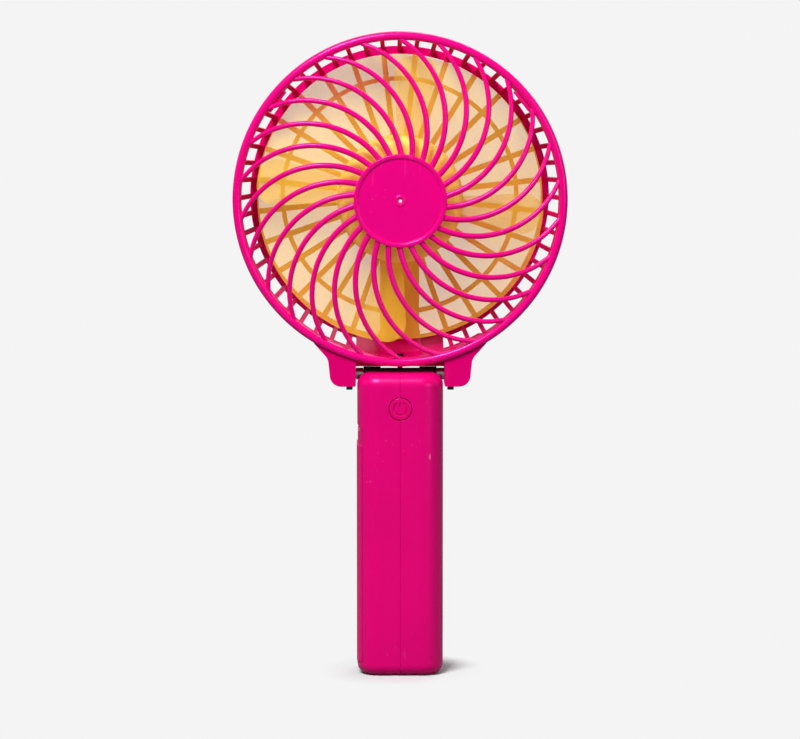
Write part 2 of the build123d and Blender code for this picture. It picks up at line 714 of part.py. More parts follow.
with BuildPart() as usb_socket:
    add(block(
        (SOCKET_MOUTH - SOCKET_LENGTH, SOCKET_MOUTH),
        (BOARD_BACK, SOCKET_BACK),
        (SOCKET_HEIGHT - SOCKET_WIDTH / 2, SOCKET_HEIGHT + SOCKET_WIDTH / 2),
    ))
    add(block(
        (SOCKET_MOUTH - SOCKET_LENGTH + 1.0, SOCKET_MOUTH + 1),
        (BOARD_BACK + SOCKET_WALL, SOCKET_BACK - SOCKET_WALL),
        (SOCKET_HEIGHT - SOCKET_WIDTH / 2 + SOCKET_WALL, SOCKET_HEIGHT + SOCKET_WIDTH / 2 - SOCKET_WALL),
    ), mode=Mode.SUBTRACT)
    # contact tongue
    add(block(
        (SOCKET_MOUTH - SOCKET_LENGTH + 0.5, SOCKET_MOUTH - 1.0),
        (BOARD_BACK + SOCKET_THICKNESS / 2 - 0.3, BOARD_BACK + SOCKET_THICKNESS / 2 + 0.3),
        (SOCKET_HEIGHT - SOCKET_WIDTH / 3, SOCKET_HEIGHT + SOCKET_WIDTH / 3),
    ))
usb_socket.part.label = "usb_socket"

# ---------------------------------------------------------------- battery and its contacts
CELL_TIP_RADIUS = 4.5
CELL_TIP_HEIGHT = 0.8
SPRING_PLATE = 0.4

with BuildPart() as battery_cell:
    with BuildSketch(Plane.XY.offset(CELL_BASE)):
        Circle(CELL_RADIUS)
    extrude(amount=CELL_LENGTH - CELL_TIP_HEIGHT)
    fillet(battery_cell.edges().filter_by(GeomType.CIRCLE), 0.6)
    with BuildSketch(Plane.XY.offset(CELL_TOP - CELL_TIP_HEIGHT)):
        Circle(CELL_TIP_RADIUS)
    extrude(amount=CELL_TIP_HEIGHT)
battery_cell.part.label = "battery_cell"

with BuildPart() as battery_contact:
    contact_half_depth = abs(PLUS_WIRE_PLACE[1]) + WIRE_RADIUS
    add(block(
        (PLUS_WIRE_PLACE[0] - WIRE_RADIUS, CELL_TIP_RADIUS),
        (-contact_half_depth, contact_half_depth),
        (CELL_TOP, PARTITION_BOTTOM),
    ))
battery_contact.part.label = "battery_contact"

with BuildPart() as battery_spring:
    plate_base = WALL + TONGUE_HEIGHT
    add(block(
        (-SPRING_BASE_RADIUS, MINUS_WIRE_PLACE[0] + WIRE_RADIUS),
        (MINUS_WIRE_PLACE[1] - WIRE_RADIUS, -MINUS_WIRE_PLACE[1]),
        (plate_base, plate_base + SPRING_PLATE),
    ))
    with BuildSketch(Plane.XY.offset(plate_base + SPRING_PLATE)):
        Circle(SPRING_BASE_RADIUS)
    with BuildSketch(Plane.XY.offset(CELL_BASE)):
        Circle(SPRING_TIP_RADIUS)
    loft()
battery_spring.part.label = "battery_spring"

WIRE_TOP = BOARD_BOTTOM + 3.0

with BuildPart() as battery_wires:
    with BuildSketch(Plane.XY.offset(PARTITION_BOTTOM)):
        with Locations(PLUS_WIRE_PLACE):
            Circle(WIRE_RADIUS)
    extrude(amount=WIRE_TOP - PARTITION_BOTTOM)
    with BuildSketch(Plane.XY.offset(plate_base + SPRING_PLATE)):
        with Locations(MINUS_WIRE_PLACE):
            Circle(WIRE_RADIUS)
    extrude(amount=WIRE_TOP - plate_base - SPRING_PLATE)
battery_wires.part.label = "battery_wires"


# ---------------------------------------------------------------- front guard
def rib_side(angle, offset):
    """Point beside the rib's centre arc, offset across the rib."""
    x, y = polar_point(RIB_ARC_RADIUS + offset, angle)
    return (RIB_ARC_CENTRE[0] + x, RIB_ARC_CENTRE[1] + y)


def latch_piece(angle, width, limits):
    """Block at an angle on the head: limits are (inner, outer, front, back)."""
    inner, outer, front, back = limits
    with BuildPart() as piece:
        with BuildSketch(front_plane(front)):
            with PolarLocations((inner + outer) / 2, 1, start_angle=angle):
                Rectangle(outer - inner, width)
        extrude(amount=front - back)
    return piece.part


RING_INNER = RING_RADIUS - RING_WIDTH
RING_ROUND_START = RING_FRONT + RING_WIDTH / 2
LATCH_INNER = RING_INNER - LATCH_THICKNESS
LATCH_TIP = FLANGE_BACK + 1.4
LATCH_FOOT = (LATCH_INNER, RING_INNER + 0.5, RING_ROUND_START, PARTING_FACE)
LATCH_BLADE = (LATCH_INNER, RING_INNER, RING_ROUND_START, LATCH_TIP)
LATCH_NOSE_RANGE = (LATCH_INNER, RING_INNER + LATCH_NOSE, FLANGE_BACK + FACE_GAP, LATCH_TIP)
RIB_FRONT_HUB = HUB_FRONT + HUB_RECESS
RIB_FRONT_ARC = ((HUB_RADIUS - 2, RIB_FRONT_HUB), (30.0, RIB_FRONT_HUB + 0.4), (41.0, RIB_FRONT_HUB + 1.7))
RIB_FRONT_END = (RING_RADIUS - 1.9, -6.3)

RIB_START, RIB_END = RIB_ARC_ANGLES
RIB_MIDDLE = (RIB_START + RIB_END) / 2
HALF_AT_HUB = RIB_WIDTH_HUB / 2
HALF_AT_RING = RIB_WIDTH_RING / 2
HALF_BETWEEN = (HALF_AT_HUB + HALF_AT_RING) / 2

# outline of one spiral rib, which narrows from the hub to the ring
with BuildSketch() as rib:
    with BuildLine():
        ThreePointArc(
            rib_side(RIB_START, HALF_AT_HUB),
            rib_side(RIB_MIDDLE, HALF_BETWEEN),
            rib_side(RIB_END, HALF_AT_RING),
        )
        Line(rib_side(RIB_END, HALF_AT_RING), rib_side(RIB_END, -HALF_AT_RING))
        ThreePointArc(
            rib_side(RIB_END, -HALF_AT_RING),
            rib_side(RIB_MIDDLE, -HALF_BETWEEN),
            rib_side(RIB_START, -HALF_AT_HUB),
        )
        Line(rib_side(RIB_START, -HALF_AT_HUB), rib_side(RIB_START, HALF_AT_HUB))
    make_face()

with BuildPart() as front_guard:
    # spiral ribs, first as upright strips
    with BuildSketch(front_plane(0)):
        with PolarLocations(0, RIB_COUNT, start_angle=RIB_START_ANGLE):
            add(rib.sketch)
    extrude(amount=-HUB_FRONT)
    # cut to the domed band that they lie in
    with BuildSketch(Plane.XY.offset(HEAD_HEIGHT)):
        with BuildLine():
            front_arc = ThreePointArc(*RIB_FRONT_ARC)
            shoulder = TangentArc(front_arc @ 1, RIB_FRONT_END, tangent=front_arc % 1)
            Line(RIB_FRONT_END, (RIB_FRONT_END[0], RIB_FRONT_END[1] + RIB_DEPTH))
            back_arc = ThreePointArc(*[(r, d + RIB_DEPTH) for r, d in RIB_FRONT_ARC])
            TangentArc(
                back_arc @ 1,
                (RIB_FRONT_END[0], RIB_FRONT_END[1] + RIB_DEPTH),
                tangent=back_arc % 1,
            )
            Line(RIB_FRONT_ARC[0], back_arc @ 0)
        make_face()
    revolve(axis=HEAD_AXIS, mode=Mode.INTERSECT)
    # ring with a half-round front
    with BuildSketch(Plane.XY.offset(HEAD_HEIGHT)):
        with BuildLine():
            Polyline(
                (RING_INNER, RING_ROUND_START),
                (RING_INNER, PARTING_FACE),
                (RING_RADIUS, PARTING_FACE),
                (RING_RADIUS, RING_ROUND_START),
            )
            ThreePointArc(
                (RING_RADIUS, RING_ROUND_START),
                (RING_RADIUS - RING_WIDTH / 2, RING_FRONT),
                (RING_INNER, RING_ROUND_START),
            )
        make_face()
    revolve(axis=HEAD_AXIS)
    # hub disc with a raised rim and a round mark in its middle
    add(ring(0, HUB_RADIUS, HUB_FRONT + HUB_RECESS, HUB_FRONT + HUB_THICKNESS))
    add(ring(HUB_RADIUS - HUB_RIM_WIDTH, HUB_RADIUS, HUB_FRONT, HUB_FRONT + HUB_THICKNESS))
    add(ring(0, GATE_RADIUS, HUB_FRONT, HUB_FRONT + 2 * HUB_RECESS), mode=Mode.SUBTRACT)
    # two snap hooks that reach behind the rear guard's flange
    for angle in LATCH_ANGLES:
        add(latch_piece(angle, LATCH_WIDTH, LATCH_FOOT))
        add(latch_piece(angle, LATCH_WIDTH, LATCH_BLADE))
        add(latch_piece(angle, LATCH_WIDTH, LATCH_NOSE_RANGE))
front_guard.part.label = "front_guard"


# ---------------------------------------------------------------- rear guard
FLANGE_INNER = RING_INNER + SLIP_FIT
LEAD_CHANNEL_HALF_WIDTH = LEAD_RADIUS + LOOSE_GAP
LEAD_CHANNEL_FLOOR = LEAD_DEPTH - LEAD_CHANNEL_HALF_WIDTH
GRILLE_FRONT = REAR_FACE - REAR_GRILLE_DEPTH
GRILLE_PITCH = 360 / SPOKE_COUNT
CUP_FRONT = MOTOR_FRONT - 1.0
SCREW_BOSS_FRONT = 11.0
SCREW_BOSS_RADIUS = 2.2
LATCH_SEAT = (FLANGE_INNER - 2, RING_RADIUS, FLANGE_BACK - 0.5, FLANGE_BACK + 3.0)
LATCH_POCKET = (LATCH_INNER - 1, RING_INNER + LATCH_NOSE + LOOSE_GAP, FLANGE_BACK, LATCH_TIP + LOOSE_GAP)


def ear(side):
    """Hinge ear under the guard, before the guard's own space is cut from it."""
    with BuildPart() as piece:
        with BuildSketch(Plane.XZ.offset(EAR_HALF_DEPTH)):
            with BuildLine():
                outline = FilletPolyline(
                    (side * EAR_INNER, EAR_BOTTOM + EAR_TIP_HEIGHT - 1),
                    (side * EAR_INNER, EAR_BOTTOM),
                    (side * EAR_OUTER, EAR_BOTTOM),
                    (side * EAR_TOP_OUTER, EAR_BOTTOM + EAR_SHOULDER_HEIGHT),
                    (side * (EAR_TOP_OUTER + EAR_TIP_REACH), EAR_BOTTOM + EAR_TIP_HEIGHT),
                    radius=[EAR_INNER_CORNER, EAR_CORNER, EAR_SHOULDER_FILLET],
                )
                Line(outline @ 1, outline @ 0)
            make_face()
        extrude(amount=-2 * EAR_HALF_DEPTH)
    return piece.part


# what the ears leave free: the front ring, and the inside of the bowl
ear_clearance = revolved([
    (0, -2 * EAR_HALF_DEPTH),
    (RING_RADIUS + SLIP_FIT, -2 * EAR_HALF_DEPTH),
    (RING_RADIUS + SLIP_FIT, PARTING_FACE),
    (RING_RADIUS - EAR_RING_BITE, PARTING_FACE),
    (RING_RADIUS - EAR_RING_BITE, FLANGE_BACK),
    (bowl_radius(FLANGE_BACK) - GRILLE_WALL / 2, FLANGE_BACK),
    (bowl_radius(2 * EAR_HALF_DEPTH) - GRILLE_WALL / 2, 2 * EAR_HALF_DEPTH),
    (0, 2 * EAR_HALF_DEPTH),
])
wall_band = bowl_band(GRILLE_WALL)
bottom_sector = latch_piece(
    270,
    2 * BOWL_FRONT_RADIUS * math.sin(math.radians(CLOSED_WALL_HALF_ANGLE)),
    (RING_RADIUS / 2, RING_RADIUS + 1, PARTING_FACE, REAR_FACE),
)
closed_wall = wall_band & bottom_sector
neck_block = bowl_band(NECK_BLOCK_THICKNESS) & latch_piece(
    270,
    2 * NECK_BLOCK_HALF_WIDTH,
    (RING_RADIUS / 2, RING_RADIUS + 1, PARTING_FACE, REAR_FACE),
)

# web between the ears, which closes the gap under the ring down to the hinge block
neck_web = block(
    (-EAR_INNER - 1, EAR_INNER + 1),
    (PARTING_FACE, FLANGE_BACK),
    (PIVOT_HEIGHT + KNUCKLE_RADIUS + SLIP_FIT, HEAD_HEIGHT - RING_RADIUS / 2),
) - ear_clearance

# square duct for the lead through the channel bar and the neck
with BuildPart() as lead_duct:
    with BuildSketch(Plane.YZ):
        with BuildLine():
            FilletPolyline(
                (LEAD_DEPTH, HEAD_HEIGHT - REAR_HUB_RADIUS),
                (LEAD_DEPTH, duct_height(LEAD_DEPTH)),
                (0, duct_height(0)),
                (0, PIVOT_HEIGHT),
                radius=LEAD_BENDS[:2],
            )
        trace(line_width=2 * LEAD_CHANNEL_HALF_WIDTH)
    extrude(amount=LEAD_CHANNEL_HALF_WIDTH, both=True)

with BuildPart() as rear_guard:
    # side bars: slabs cut to the bowl's wall
    with BuildSketch(front_plane(FLANGE_BACK - 0.5)):
        with PolarLocations(RING_RADIUS - 4, BAR_COUNT):
            Rectangle(12, BAR_WIDTH)
    extrude(amount=-(REAR_FACE - FLANGE_BACK + 0.5))
    add(wall_band, mode=Mode.INTERSECT)
    # flange, and the wall that is closed at the bottom
    add(ring(FLANGE_INNER, RING_RADIUS, PARTING_FACE, FLANGE_BACK))
    add(closed_wall)
    add(neck_block)
    add(neck_web)
    # rings and spokes of the rear grille
    add(revolved([
        (REAR_RING_OUTER - REAR_RING_WIDTH, GRILLE_FRONT),
        (bowl_radius(GRILLE_FRONT), GRILLE_FRONT),
        (bowl_radius(REAR_FACE), REAR_FACE),
        (REAR_RING_OUTER - REAR_RING_WIDTH, REAR_FACE),
    ]))
    with BuildSketch(front_plane(GRILLE_FRONT)):
        spoke_length = REAR_RING_OUTER - REAR_HUB_RADIUS
        with PolarLocations(REAR_HUB_RADIUS + spoke_length / 2 - 0.5, SPOKE_COUNT, start_angle=GRILLE_PITCH / 2):
            Rectangle(spoke_length, SPOKE_WIDTH)
    extrude(amount=-REAR_GRILLE_DEPTH)
    add(ring(
        MIDDLE_RING_RADIUS - MIDDLE_RING_WIDTH / 2,
        MIDDLE_RING_RADIUS + MIDDLE_RING_WIDTH / 2,
        GRILLE_FRONT,
        REAR_FACE,
    ))
    # motor cup with its front lip, and the ring around it
    add(ring(CUP_RADIUS - 0.5, REAR_HUB_RADIUS, GRILLE_FRONT, REAR_FACE))
    add(ring(MOTOR_RADIUS + RUNNING_FIT, CUP_RADIUS, CUP_FRONT, REAR_FACE))
    add(ring(MOTOR_BOSS_RADIUS + SLIP_FIT, CUP_RADIUS, CUP_FRONT, MOTOR_FRONT))
    # bosses for the cover's screws
    for side in (-1, 1):
        with BuildSketch(front_plane(SCREW_BOSS_FRONT)):
            with Locations((side * COVER_SCREW_PLACE, 0)):
                Circle(SCREW_BOSS_RADIUS)
        extrude(amount=-(REAR_FACE - SCREW_BOSS_FRONT))
    # bar that carries the lead down the rear grille
    add(block(
        (-CHANNEL_BLOCK_HALF_WIDTH, CHANNEL_BLOCK_HALF_WIDTH),
        (REAR_FACE - CHANNEL_BLOCK_DEPTH, REAR_FACE),
        (HEAD_HEIGHT - REAR_RING_OUTER + 1, HEAD_HEIGHT - CUP_RADIUS),
    ))
    # seats behind the flange for the snap hooks
    for angle in LATCH_ANGLES:
        add(latch_piece(angle, LATCH_WIDTH + 2, LATCH_SEAT) & wall_band)
        add(latch_piece(angle, LATCH_WIDTH + 2 * LOOSE_GAP, LATCH_POCKET), mode=Mode.SUBTRACT)
    # hinge ears
    for side in (-1, 1):
        add(ear(side) - ear_clearance)
    # bores of the ears: pin, friction disc and cap
    for side in (-1, 1):
        outside = side * 2 * EAR_TOP_OUTER
        disc_limits = (side * (DISC_START - FACE_GAP * 2), side * (DISC_START + DISC_THICKNESS + FACE_GAP * 2))
        cap_limits = (side * (CAP_END - CAP_THICKNESS - FACE_GAP), outside)
        pivot = (0, PIVOT_HEIGHT)
        add(cross_cylinder(PIN_RADIUS + RUNNING_FIT, side * 10, outside, pivot), mode=Mode.SUBTRACT)
        add(cross_cylinder(DISC_RADIUS + LOOSE_GAP, *disc_limits, pivot), mode=Mode.SUBTRACT)
        add(cross_cylinder(CAP_RADIUS + FACE_GAP, *cap_limits, pivot), mode=Mode.SUBTRACT)
    # groove for the lead, then its duct through the neck
    add(block(
        (-LEAD_CHANNEL_HALF_WIDTH, LEAD_CHANNEL_HALF_WIDTH),
        (LEAD_CHANNEL_FLOOR, REAR_FACE + 1),
        (HEAD_HEIGHT - REAR_RING_OUTER + REAR_RING_WIDTH, HEAD_HEIGHT - MOTOR_RADIUS + 1),
    ), mode=Mode.SUBTRACT)
    add(lead_duct.part, mode=Mode.SUBTRACT)
    # pilot holes of the cover's screws
    for side in (-1, 1):
        with BuildSketch(front_plane(SCREW_BOSS_FRONT + 1)):
            with Locations((side * COVER_SCREW_PLACE, 0)):
                Circle(SCREW_RADIUS)
        extrude(amount=-REAR_FACE, mode=Mode.SUBTRACT)
rear_guard.part.label = "rear_guard"

# ---------------------------------------------------------------- motor cover and its screws
COVER_SEAT = REAR_FACE + COVER_THICKNESS - SCREW_HEAD_HEIGHT

with BuildPart() as motor_cover:
    add(ring(0, REAR_HUB_RADIUS, REAR_FACE, COVER_BACK))
    add(block(
        (-COVER_STRIP_HALF_WIDTH, COVER_STRIP_HALF_WIDTH),
        (REAR_FACE, COVER_BACK),
        (HEAD_HEIGHT - COVER_STRIP_END, HEAD_HEIGHT),
    ))
    fillet(motor_cover.edges().group_by(Axis.Y)[-1], 0.5)
    for side in (-1, 1):
        with BuildSketch(front_plane(REAR_FACE)):
            with Locations((side * COVER_SCREW_PLACE, 0)):
                Circle(SCREW_RADIUS + SLIP_FIT)
        extrude(amount=-COVER_THICKNESS, mode=Mode.SUBTRACT)
        with BuildSketch(front_plane(COVER_SEAT)):
            with Locations((side * COVER_SCREW_PLACE, 0)):
                Circle(SCREW_HEAD_RADIUS + SLIP_FIT)
        extrude(amount=-SCREW_HEAD_HEIGHT, mode=Mode.SUBTRACT)
motor_cover.part.label = "motor_cover"

with BuildPart() as cover_screws:
    for side in (-1, 1):
        with BuildSketch(front_plane(SCREW_BOSS_FRONT + 1.5)):
            with Locations((side * COVER_SCREW_PLACE, 0)):
                Circle(SCREW_RADIUS)
        extrude(amount=-(COVER_SEAT - SCREW_BOSS_FRONT - 1.5))
        with BuildSketch(front_plane(COVER_SEAT)):
            with Locations((side * COVER_SCREW_PLACE, 0)):
                Circle(SCREW_HEAD_RADIUS)
        extrude(amount=-(SCREW_HEAD_HEIGHT - 0.2))
        with BuildSketch(front_plane(COVER_SEAT + SCREW_HEAD_HEIGHT / 3)):
            with Locations((side * COVER_SCREW_PLACE, 0)):
                Rectangle(SCREW_SLOT_LENGTH, SCREW_SLOT_WIDTH)
                Rectangle(SCREW_SLOT_WIDTH, SCREW_SLOT_LENGTH)
        extrude(amount=-SCREW_HEAD_HEIGHT, mode=Mode.SUBTRACT)
cover_screws.part.label = "cover_screws"

# ---------------------------------------------------------------- motor
MOTOR_INSIDE = MOTOR_FRONT + MOTOR_WALL
END_CAP_FRONT = MOTOR_BACK - END_CAP_THICKNESS
CAN_BORE = MOTOR_RADIUS - MOTOR_WALL
BOSS_FRONT = MOTOR_FRONT - MOTOR_BOSS_LENGTH
MAGNET_INNER = ARMATURE_RADIUS + AIR_GAP
MAGNET_GAP_HALF_WIDTH = 3.8
ARMATURE_FRONT = MOTOR_INSIDE + 1.4
ARMATURE_BACK = END_CAP_FRONT - 2.2
COMMUTATOR_RADIUS = 2.6
COMMUTATOR_LENGTH = 1.2
SHAFT_FRONT = CAP_WHEEL_FRONT + 1.2
SHAFT_BACK = MOTOR_BACK - 0.1
TERMINAL_WIDTH = 0.6
TERMINAL_HEIGHT = 2.5
TERMINAL_PLACE = 1.4
TERMINAL_BOTTOM = HEAD_HEIGHT - TERMINAL_DROP - LEAD_RADIUS

with BuildPart() as motor_can:
    add(revolved([
        (BUSH_RADIUS, BOSS_FRONT),
        (MOTOR_BOSS_RADIUS, BOSS_FRONT),
        (MOTOR_BOSS_RADIUS, MOTOR_FRONT),
        (MOTOR_RADIUS, MOTOR_FRONT),
        (MOTOR_RADIUS, MOTOR_BACK),
        (CAN_BORE, MOTOR_BACK),
        (CAN_BORE, MOTOR_INSIDE),
        (BUSH_RADIUS, MOTOR_INSIDE),
    ]))
motor_can.part.label = "motor_can"

with BuildPart() as motor_magnets:
    add(ring(MAGNET_INNER, CAN_BORE - FACE_GAP, MOTOR_INSIDE + 0.5, END_CAP_FRONT - 1.2))
    add(block(
        (-MAGNET_GAP_HALF_WIDTH, MAGNET_GAP_HALF_WIDTH),
        (0, REAR_FACE),
        (HEAD_HEIGHT - MOTOR_RADIUS, HEAD_HEIGHT + MOTOR_RADIUS),
    ), mode=Mode.SUBTRACT)
motor_magnets.part.label = "motor_magnets"

with BuildPart() as motor_armature:
    add(ring(SHAFT_RADIUS, ARMATURE_RADIUS, ARMATURE_FRONT, ARMATURE_BACK))
    # three winding slots
    with BuildSketch(front_plane(ARMATURE_FRONT)):
        with PolarLocations(ARMATURE_RADIUS, 3, start_angle=90):
            Rectangle(8.0, 1.2)
    extrude(amount=-REAR_FACE, mode=Mode.SUBTRACT)
    add(ring(SHAFT_RADIUS, COMMUTATOR_RADIUS, ARMATURE_FRONT, ARMATURE_BACK + COMMUTATOR_LENGTH))
motor_armature.part.label = "motor_armature"

with BuildPart() as motor_shaft:
    add(ring(0, SHAFT_RADIUS, SHAFT_FRONT, SHAFT_BACK))
motor_shaft.part.label = "motor_shaft"

with BuildPart() as motor_bushes:
    add(ring(SHAFT_RADIUS + RUNNING_FIT, BUSH_RADIUS, BOSS_FRONT, BOSS_FRONT + BUSH_LENGTH))
    add(ring(SHAFT_RADIUS + RUNNING_FIT, BUSH_RADIUS, END_CAP_FRONT - 0.4, MOTOR_BACK))
motor_bushes.part.label = "motor_bushes"

with BuildPart() as motor_end_cap:
    add(ring(BUSH_RADIUS, CAN_BORE - FACE_GAP, END_CAP_FRONT, MOTOR_BACK))
    for side in (-1, 1):
        add(block(
            (side * TERMINAL_PLACE - TERMINAL_WIDTH / 2, side * TERMINAL_PLACE + TERMINAL_WIDTH / 2),
            (END_CAP_FRONT - 1, REAR_FACE),
            (TERMINAL_BOTTOM, TERMINAL_BOTTOM + TERMINAL_HEIGHT),
        ), mode=Mode.SUBTRACT)
motor_end_cap.part.label = "motor_end_cap"

with BuildPart() as motor_terminals:
    for side in (-1, 1):
        add(block(
            (side * TERMINAL_PLACE - TERMINAL_WIDTH / 2, side * TERMINAL_PLACE + TERMINAL_WIDTH / 2),
            (END_CAP_FRONT, LEAD_DEPTH + LEAD_RADIUS / 2),
            (TERMINAL_BOTTOM, TERMINAL_BOTTOM + TERMINAL_HEIGHT),
        ))
motor_terminals.part.label = "motor_terminals"

# ---------------------------------------------------------------- fan wheel
CAP_INSIDE = CAP_WHEEL_FRONT + CAP_WHEEL_WALL
BORE_END = CAP_WHEEL_FRONT + BOSS_LENGTH
BLADE_SECTIONS = 6
BLADE_ROOT = CAP_WHEEL_RADIUS - CAP_WHEEL_WALL / 2
BLADE_END_ANGLE = BLADE_START_ANGLE + BLADE_SPAN


def blade_section(step):
    """Radial cross-section of the blade at a step of its span."""
    share = step / (BLADE_SECTIONS - 1)
    angle = BLADE_START_ANGLE + BLADE_SPAN * share
    depth = BLADE_BACK + (BLADE_FRONT - BLADE_BACK) * share
    x, z = polar_point(1, angle)
    with BuildSketch(Plane(origin=(0, depth, HEAD_HEIGHT), x_dir=(x, 0, z), z_dir=(-z, 0, x))) as section:
        with Locations(((BLADE_ROOT - 1 + BLADE_RADIUS + 1) / 2, 0)):
            Rectangle(BLADE_RADIUS - BLADE_ROOT + 2, BLADE_THICKNESS)
    return section.sketch


with BuildPart() as blade:
    loft(sections=[blade_section(step) for step in range(BLADE_SECTIONS)])
    with BuildSketch(front_plane(CAP_WHEEL_FRONT)):
        blade_middle = (BLADE_START_ANGLE + BLADE_END_ANGLE) / 2
        with BuildLine():
            ThreePointArc(
                polar_point(BLADE_RADIUS, BLADE_START_ANGLE),
                polar_point(BLADE_RADIUS, blade_middle),
                polar_point(BLADE_RADIUS, BLADE_END_ANGLE),
            )
            Polyline(
                polar_point(BLADE_RADIUS, BLADE_END_ANGLE),
                polar_point(BLADE_ROOT, BLADE_END_ANGLE),
            )
            ThreePointArc(
                polar_point(BLADE_ROOT, BLADE_END_ANGLE),
                polar_point(BLADE_ROOT, blade_middle),
                polar_point(BLADE_ROOT, BLADE_START_ANGLE),
            )
            Polyline(
                polar_point(BLADE_ROOT, BLADE_START_ANGLE),
                polar_point(BLADE_RADIUS, BLADE_START_ANGLE),
            )
        plan = make_face()
        outer_corners = [v for v in plan.vertices() if v.center().length > BLADE_RADIUS - 1]
        fillet(outer_corners, BLADE_CORNER)
    extrude(amount=-REAR_FACE * 2, mode=Mode.INTERSECT)

with BuildPart() as fan_rotor:
    # cap with a rounded front edge, hollow behind
    with BuildSketch(Plane.XY.offset(HEAD_HEIGHT)):
        with BuildLine():
            FilletPolyline(
                (0, CAP_WHEEL_FRONT),
                (CAP_WHEEL_RADIUS, CAP_WHEEL_FRONT),
                (CAP_WHEEL_RADIUS, BLADE_BACK),
                (CAP_WHEEL_RADIUS - CAP_WHEEL_WALL, BLADE_BACK),
                (CAP_WHEEL_RADIUS - CAP_WHEEL_WALL, CAP_INSIDE),
                (0, CAP_INSIDE),
                radius=[CAP_WHEEL_ROUNDING, 0, 0, CAP_WHEEL_ROUNDING - CAP_WHEEL_WALL],
            )
            Line((0, CAP_INSIDE), (0, CAP_WHEEL_FRONT))
        make_face()
    revolve(axis=HEAD_AXIS)
    for number in range(BLADE_COUNT):
        add(blade.part.rotate(HEAD_AXIS, number * 360 / BLADE_COUNT))
    add(ring(0, BOSS_RADIUS, CAP_INSIDE - 0.5, BORE_END))
    add(ring(0, SHAFT_RADIUS, SHAFT_FRONT, REAR_FACE), mode=Mode.SUBTRACT)
fan_rotor.part.label = "fan_rotor"

# ---------------------------------------------------------------- files, one for each sub-part
for piece in (
    front_guard,
    rear_guard,
    fan_rotor,
    handle_left_shell,
    handle_right_shell,
    shell_screws,
    battery_door,
    power_button,
    switch_plunger,
    switch_body,
    friction_discs,
    hinge_spacers,
    hinge_block,
    hinge_pins,
    hinge_caps,
    motor_cover,
    cover_screws,
    motor_can,
    motor_magnets,
    motor_armature,
    motor_shaft,
    motor_bushes,
    motor_end_cap,
    motor_terminals,
    motor_lead,
    handle_lead,
    circuit_board,
    board_chips,
    usb_socket,
    battery_cell,
    battery_contact,
    battery_spring,
    battery_wires,
):
    export_step(piece.part, f"parts/{piece.part.label}.step")
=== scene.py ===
import math

import bpy
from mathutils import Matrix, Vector


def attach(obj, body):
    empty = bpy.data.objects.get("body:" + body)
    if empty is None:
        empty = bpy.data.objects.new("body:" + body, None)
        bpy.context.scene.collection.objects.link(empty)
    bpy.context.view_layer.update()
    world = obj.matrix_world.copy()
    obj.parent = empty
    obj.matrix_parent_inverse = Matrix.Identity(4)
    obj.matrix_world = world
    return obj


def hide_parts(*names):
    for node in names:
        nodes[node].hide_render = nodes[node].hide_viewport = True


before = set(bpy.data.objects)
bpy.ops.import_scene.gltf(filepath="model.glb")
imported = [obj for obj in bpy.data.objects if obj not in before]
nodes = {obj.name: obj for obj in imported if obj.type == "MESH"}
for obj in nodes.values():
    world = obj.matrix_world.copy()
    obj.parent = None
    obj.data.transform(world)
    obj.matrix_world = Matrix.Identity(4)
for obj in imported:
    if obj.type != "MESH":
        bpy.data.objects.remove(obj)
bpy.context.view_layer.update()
bpy.context.scene.view_settings.view_transform = "Standard"

# ---------------------------------------------------------------- table top and backdrop
# A plain pale sweep: matt round the fan's foot, where it takes the soft shadow,
# and an even pale grey further off. It throws back less light than it shows.
BACKDROP_GREY = (0.904, 0.904, 0.904, 1.0)
SWEEP_WHITE = (0.71, 0.755, 0.745, 1.0)
SWEEP_BOUNCE = (0.22, 0.22, 0.22, 1.0)
SWEEP_SIZE = 60.0
SHADOW_NEAR = 0.015
SHADOW_FAR = 0.030
SWEEP_ROUGHNESS = 0.9


class Wire:
    """A socket of a material's nodes, on which arithmetic adds Math nodes."""

    def __init__(self, tree, socket):
        self.tree = tree
        self.socket = socket

    def node(self, kind, settings, sockets, output=0):
        """Any node: its type, its settings, and the values or links of its sockets."""
        node = self.tree.nodes.new("ShaderNode" + kind)
        for name, value in settings.items():
            setattr(node, name, value)
        for name, value in sockets.items():
            if isinstance(value, Wire):
                self.tree.links.new(value.socket, node.inputs[name])
            else:
                node.inputs[name].default_value = value
        return Wire(self.tree, node.outputs[output])

    def maths(self, operation, first, second):
        return self.node("Math", {"operation": operation}, {0: first, 1: second})

    def __add__(self, other):
        return self.maths("ADD", self, other)

    def __radd__(self, other):
        return self.maths("ADD", other, self)

    def __sub__(self, other):
        return self.maths("SUBTRACT", self, other)

    def __rsub__(self, other):
        return self.maths("SUBTRACT", other, self)

    def __mul__(self, other):
        return self.maths("MULTIPLY", self, other)

    def __rmul__(self, other):
        return self.maths("MULTIPLY", other, self)

    def between(self, low, high):
        """0 below low, 1 above high, smooth between them."""
        settings = {"interpolation_type": "SMOOTHSTEP"}
        return self.node("MapRange", settings, {"Value": self, "From Min": low, "From Max": high})

    def noise(self, scale, detail):
        """Cloudy noise at this place, from 0 to 1."""
        return self.node("TexNoise", {}, {"Vector": self, "Scale": scale, "Detail": detail})

    def mix(self, colour_at_0, colour_at_1):
        """Colour that goes from one to the other as this value goes from 0 to 1."""
        return self.node("Mix", {"data_type": "RGBA"}, {0: self, 6: colour_at_0, 7: colour_at_1}, 2)

    def distance_from(self, point):
        """How far this place is from a point."""
        return self.node("VectorMath", {"operation": "DISTANCE"}, {0: self, 1: point}, 1)


